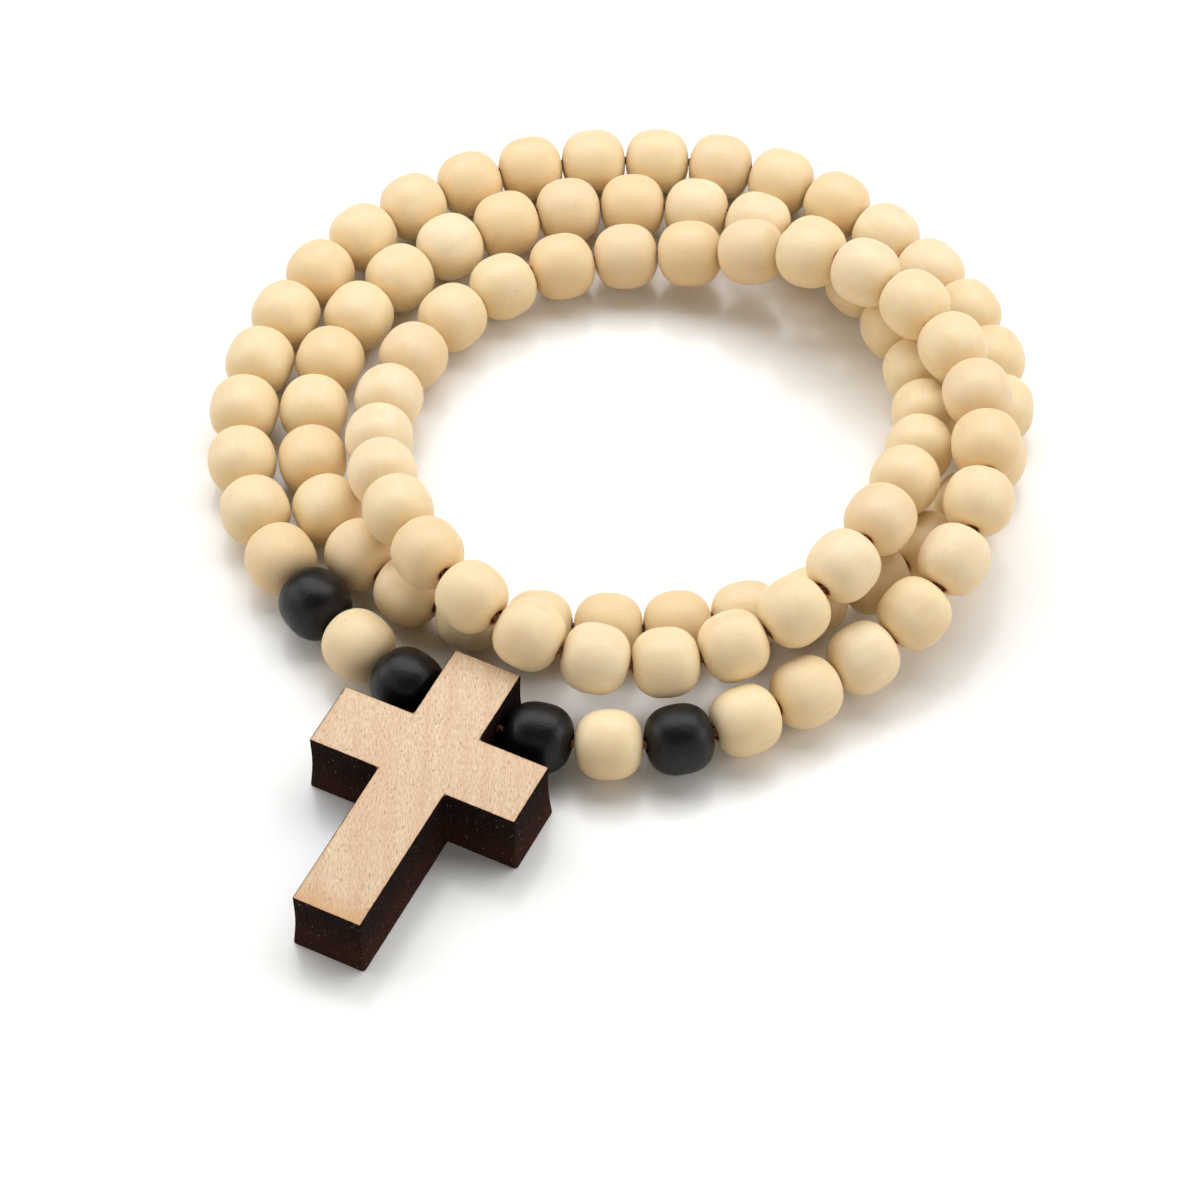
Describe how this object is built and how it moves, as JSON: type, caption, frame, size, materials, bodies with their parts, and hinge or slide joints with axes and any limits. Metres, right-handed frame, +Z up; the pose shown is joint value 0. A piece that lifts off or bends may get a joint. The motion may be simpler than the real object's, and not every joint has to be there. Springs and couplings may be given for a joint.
{
  "type": "rosary",
  "caption": "String of round wooden prayer beads on one cord with a flat wooden cross, lying in three loose turns.",
  "frame": {"origin": "centre of the whole laid-down rosary on the surface that it lies on", "axes": "+Z up from that surface, +Y from the cross towards the far side of the turns, +X to the right as seen from the cross"},
  "size_m": [0.0958, 0.1198, 0.0159],
  "materials": {
    "pale_wood": "bare pale wood, smooth turned and waxed, satin",
    "black_lacquer": "wood stained black under a satin lacquer",
    "cross_wood": "sanded bare wood on the broad faces, edges burnt nearly black by a laser cut",
    "cord": "thin twisted tan cord, matt"
  },
  "bodies": {
    "strand": {"cord": "cord", "cord_knot": "cord", "beads_04_to_07": "pale_wood", "beads_08_to_11": "pale_wood", "beads_12_to_15": "pale_wood", "beads_16_to_19": "pale_wood", "beads_20_to_23": "pale_wood", "beads_24_to_27": "pale_wood", "beads_28_to_31": "pale_wood", "beads_32_to_35": "pale_wood", "beads_36_to_39": "pale_wood", "beads_40_to_43": "pale_wood", "beads_44_to_47": "pale_wood"},
    "cross": {"cross": "cross_wood"},
    "black_bead_1": {"black_bead_1": "black_lacquer"},
    "bead_02": {"bead_02": "pale_wood"},
    "black_bead_2": {"black_bead_2": "black_lacquer"},
    "bead_48": {"bead_48": "pale_wood"},
    "bead_49": {"bead_49": "pale_wood"},
    "bead_50": {"bead_50": "pale_wood"},
    "bead_51": {"bead_51": "pale_wood"},
    "bead_52": {"bead_52": "pale_wood"},
    "bead_53": {"bead_53": "pale_wood"},
    "bead_54": {"bead_54": "pale_wood"},
    "bead_55": {"bead_55": "pale_wood"},
    "bead_56": {"bead_56": "pale_wood"},
    "bead_57": {"bead_57": "pale_wood"},
    "bead_58": {"bead_58": "pale_wood"},
    "bead_59": {"bead_59": "pale_wood"},
    "bead_60": {"bead_60": "pale_wood"},
    "bead_61": {"bead_61": "pale_wood"},
    "bead_62": {"bead_62": "pale_wood"},
    "bead_63": {"bead_63": "pale_wood"},
    "bead_64": {"bead_64": "pale_wood"},
    "bead_65": {"bead_65": "pale_wood"},
    "bead_66": {"bead_66": "pale_wood"},
    "bead_67": {"bead_67": "pale_wood"},
    "bead_68": {"bead_68": "pale_wood"},
    "bead_69": {"bead_69": "pale_wood"},
    "bead_70": {"bead_70": "pale_wood"},
    "bead_71": {"bead_71": "pale_wood"},
    "bead_72": {"bead_72": "pale_wood"},
    "bead_73": {"bead_73": "pale_wood"},
    "bead_74": {"bead_74": "pale_wood"},
    "bead_75": {"bead_75": "pale_wood"},
    "bead_76": {"bead_76": "pale_wood"},
    "bead_77": {"bead_77": "pale_wood"},
    "bead_78": {"bead_78": "pale_wood"},
    "bead_79": {"bead_79": "pale_wood"},
    "bead_80": {"bead_80": "pale_wood"},
    "bead_81": {"bead_81": "pale_wood"},
    "bead_82": {"bead_82": "pale_wood"},
    "bead_83": {"bead_83": "pale_wood"},
    "bead_84": {"bead_84": "pale_wood"},
    "bead_85": {"bead_85": "pale_wood"},
    "bead_86": {"bead_86": "pale_wood"},
    "bead_87": {"bead_87": "pale_wood"},
    "black_bead_3": {"black_bead_3": "black_lacquer"},
    "bead_89": {"bead_89": "pale_wood"},
    "black_bead_4": {"black_bead_4": "black_lacquer"}
  },
  "joints": [
    {"name": "cross_swing", "type": "hinge", "parent": "strand", "child": "cross", "pos_m": [-0.0169, -0.0295, 0.00405], "axis": [-0.8957, 0.4446, 0], "range_deg": [0, 95]},
    {"name": "black_bead_1_spin", "type": "hinge", "parent": "strand", "child": "black_bead_1", "pos_m": [-0.02368, -0.02494, 0.00404], "axis": [-0.739, 0.6737, -0.003], "continuous": true},
    {"name": "bead_02_spin", "type": "hinge", "parent": "strand", "child": "bead_02", "pos_m": [-0.02927, -0.0195, 0.00402], "axis": [-0.6949, 0.7191, -0.0022], "continuous": true},
    {"name": "black_bead_2_spin", "type": "hinge", "parent": "strand", "child": "black_bead_2", "pos_m": [-0.03433, -0.01358, 0.00401], "axis": [-0.6021, 0.7984, -0.0009], "continuous": true},
    {"name": "bead_48_spin", "type": "hinge", "parent": "strand", "child": "bead_48", "pos_m": [0.01657, 0.04485, 0.00409], "axis": [0.9054, -0.4245, 0.0103], "continuous": true},
    {"name": "bead_49_spin", "type": "hinge", "parent": "strand", "child": "bead_49", "pos_m": [0.02312, 0.04072, 0.00416], "axis": [0.7721, -0.6354, 0.0079], "continuous": true},
    {"name": "bead_50_spin", "type": "hinge", "parent": "strand", "child": "bead_50", "pos_m": [0.02846, 0.03511, 0.00412], "axis": [0.5983, -0.8011, -0.0179], "continuous": true},
    {"name": "bead_51_spin", "type": "hinge", "parent": "strand", "child": "bead_51", "pos_m": [0.03238, 0.02842, 0.004], "axis": [0.4072, -0.9132, -0.0134], "continuous": true},
    {"name": "bead_52_spin", "type": "hinge", "parent": "strand", "child": "bead_52", "pos_m": [0.03465, 0.02103, 0.00427], "axis": [0.1745, -0.9812, 0.0822], "continuous": true},
    {"name": "bead_53_spin", "type": "hinge", "parent": "strand", "child": "bead_53", "pos_m": [0.03513, 0.01339, 0.00542], "axis": [-0.0537, -0.9758, 0.2119], "continuous": true},
    {"name": "bead_54_spin", "type": "hinge", "parent": "strand", "child": "bead_54", "pos_m": [0.03404, 0.00607, 0.00772], "axis": [-0.2252, -0.8979, 0.3782], "continuous": true},
    {"name": "bead_55_spin", "type": "hinge", "parent": "strand", "child": "bead_55", "pos_m": [0.03191, -0.00093, 0.01041], "axis": [-0.3194, -0.8954, 0.3102], "continuous": true},
    {"name": "bead_56_spin", "type": "hinge", "parent": "strand", "child": "bead_56", "pos_m": [0.02881, -0.00785, 0.01189], "axis": [-0.4748, -0.8773, 0.0695], "continuous": true},
    {"name": "bead_57_spin", "type": "hinge", "parent": "strand", "child": "bead_57", "pos_m": [0.02448, -0.01426, 0.01156], "axis": [-0.6312, -0.7603, -0.1536], "continuous": true},
    {"name": "bead_58_spin", "type": "hinge", "parent": "strand", "child": "bead_58", "pos_m": [0.01894, -0.0194, 0.00991], "axis": [-0.7872, -0.5553, -0.2682], "continuous": true},
    {"name": "bead_59_spin", "type": "hinge", "parent": "strand", "child": "bead_59", "pos_m": [0.01224, -0.02289, 0.00819], "axis": [-0.9256, -0.3367, -0.1731], "continuous": true},
    {"name": "bead_60_spin", "type": "hinge", "parent": "strand", "child": "bead_60", "pos_m": [0.00475, -0.02474, 0.00761], "axis": [-0.9901, -0.1378, 0.0261], "continuous": true},
    {"name": "bead_61_spin", "type": "hinge", "parent": "strand", "child": "bead_61", "pos_m": [-0.00295, -0.02482, 0.00843], "axis": [-0.9762, 0.1178, 0.1819], "continuous": true},
    {"name": "bead_62_spin", "type": "hinge", "parent": "strand", "child": "bead_62", "pos_m": [-0.01023, -0.02275, 0.01001], "axis": [-0.8841, 0.4101, 0.2239], "continuous": true},
    {"name": "bead_63_spin", "type": "hinge", "parent": "strand", "child": "bead_63", "pos_m": [-0.01656, -0.01853, 0.01143], "axis": [-0.7307, 0.6689, 0.1366], "continuous": true},
    {"name": "bead_64_spin", "type": "hinge", "parent": "strand", "child": "bead_64", "pos_m": [-0.02155, -0.01263, 0.01187], "axis": [-0.5441, 0.8387, -0.0231], "continuous": true},
    {"name": "bead_65_spin", "type": "hinge", "parent": "strand", "child": "bead_65", "pos_m": [-0.02506, -0.00577, 0.01103], "axis": [-0.3542, 0.9151, -0.1928], "continuous": true},
    {"name": "bead_66_spin", "type": "hinge", "parent": "strand", "child": "bead_66", "pos_m": [-0.02709, 0.00141, 0.00893], "axis": [-0.167, 0.9234, -0.3457], "continuous": true},
    {"name": "bead_67_spin", "type": "hinge", "parent": "strand", "child": "bead_67", "pos_m": [-0.0278, 0.00876, 0.00651], "axis": [-0.0148, 0.9621, -0.2724], "continuous": true},
    {"name": "bead_68_spin", "type": "hinge", "parent": "strand", "child": "bead_68", "pos_m": [-0.027, 0.01628, 0.00486], "axis": [0.2197, 0.9638, -0.1512], "continuous": true},
    {"name": "bead_69_spin", "type": "hinge", "parent": "strand", "child": "bead_69", "pos_m": [-0.02436, 0.02352, 0.00412], "axis": [0.456, 0.8891, -0.039], "continuous": true},
    {"name": "bead_70_spin", "type": "hinge", "parent": "strand", "child": "bead_70", "pos_m": [-0.01994, 0.02987, 0.004], "axis": [0.6756, 0.7372, 0.0091], "continuous": true},
    {"name": "bead_71_spin", "type": "hinge", "parent": "strand", "child": "bead_71", "pos_m": [-0.014, 0.03484, 0.00403], "axis": [0.846, 0.5332, -0.0008], "continuous": true},
    {"name": "bead_72_spin", "type": "hinge", "parent": "strand", "child": "bead_72", "pos_m": [-0.00697, 0.03808, 0.00403], "axis": [0.9543, 0.2987, -0.0007], "continuous": true},
    {"name": "bead_73_spin", "type": "hinge", "parent": "strand", "child": "bead_73", "pos_m": [0.00065, 0.03947, 0.00426], "axis": [0.9966, 0.057, 0.0593], "continuous": true},
    {"name": "bead_74_spin", "type": "hinge", "parent": "strand", "child": "bead_74", "pos_m": [0.00832, 0.03908, 0.0052], "axis": [0.9705, -0.158, 0.1821], "continuous": true},
    {"name": "bead_75_spin", "type": "hinge", "parent": "strand", "child": "bead_75", "pos_m": [0.01556, 0.03733, 0.00735], "axis": [0.8835, -0.2895, 0.3682], "continuous": true},
    {"name": "bead_76_spin", "type": "hinge", "parent": "strand", "child": "bead_76", "pos_m": [0.0223, 0.03443, 0.00988], "axis": [0.8459, -0.4539, 0.2801], "continuous": true},
    {"name": "bead_77_spin", "type": "hinge", "parent": "strand", "child": "bead_77", "pos_m": [0.02867, 0.03028, 0.01133], "axis": [0.7866, -0.6105, 0.0924], "continuous": true},
    {"name": "bead_78_spin", "type": "hinge", "parent": "strand", "child": "bead_78", "pos_m": [0.03419, 0.02486, 0.01165], "axis": [0.6283, -0.7779, -0.0099], "continuous": true},
    {"name": "bead_79_spin", "type": "hinge", "parent": "strand", "child": "bead_79", "pos_m": [0.03827, 0.01828, 0.01159], "axis": [0.4173, -0.9087, -0.0064], "continuous": true},
    {"name": "bead_80_spin", "type": "hinge", "parent": "strand", "child": "bead_80", "pos_m": [0.04065, 0.01091, 0.01182], "axis": [0.1913, -0.9792, 0.0671], "continuous": true},
    {"name": "bead_81_spin", "type": "hinge", "parent": "strand", "child": "bead_81", "pos_m": [0.04126, 0.0032, 0.01186], "axis": [-0.0357, -0.9977, -0.0572], "continuous": true},
    {"name": "bead_82_spin", "type": "hinge", "parent": "strand", "child": "bead_82", "pos_m": [0.04006, -0.00439, 0.01091], "axis": [-0.2705, -0.9446, -0.1857], "continuous": true},
    {"name": "bead_83_spin", "type": "hinge", "parent": "strand", "child": "bead_83", "pos_m": [0.03708, -0.01128, 0.00903], "axis": [-0.4913, -0.8195, -0.295], "continuous": true},
    {"name": "bead_84_spin", "type": "hinge", "parent": "strand", "child": "bead_84", "pos_m": [0.03251, -0.01701, 0.00653], "axis": [-0.68, -0.6467, -0.3456], "continuous": true},
    {"name": "bead_85_spin", "type": "hinge", "parent": "strand", "child": "bead_85", "pos_m": [0.0267, -0.02175, 0.00457], "axis": [-0.8087, -0.5671, -0.1562], "continuous": true},
    {"name": "bead_86_spin", "type": "hinge", "parent": "strand", "child": "bead_86", "pos_m": [0.02027, -0.02608, 0.004], "axis": [-0.8395, -0.5433, 0.0092], "continuous": true},
    {"name": "bead_87_spin", "type": "hinge", "parent": "strand", "child": "bead_87", "pos_m": [0.01351, -0.02995, 0.00403], "axis": [-0.8941, -0.4478, -0.0029], "continuous": true},
    {"name": "black_bead_3_spin", "type": "hinge", "parent": "strand", "child": "black_bead_3", "pos_m": [0.00621, -0.03254, 0.00403], "axis": [-0.9763, -0.2163, 0.0032], "continuous": true},
    {"name": "bead_89_spin", "type": "hinge", "parent": "strand", "child": "bead_89", "pos_m": [-0.0015, -0.03327, 0.00403], "axis": [-0.9996, 0.0274, -0.0019], "continuous": true},
    {"name": "black_bead_4_spin", "type": "hinge", "parent": "strand", "child": "black_bead_4", "pos_m": [-0.0092, -0.0323, 0.00404], "axis": [-0.975, 0.222, 0.0034], "continuous": true}
  ]
}
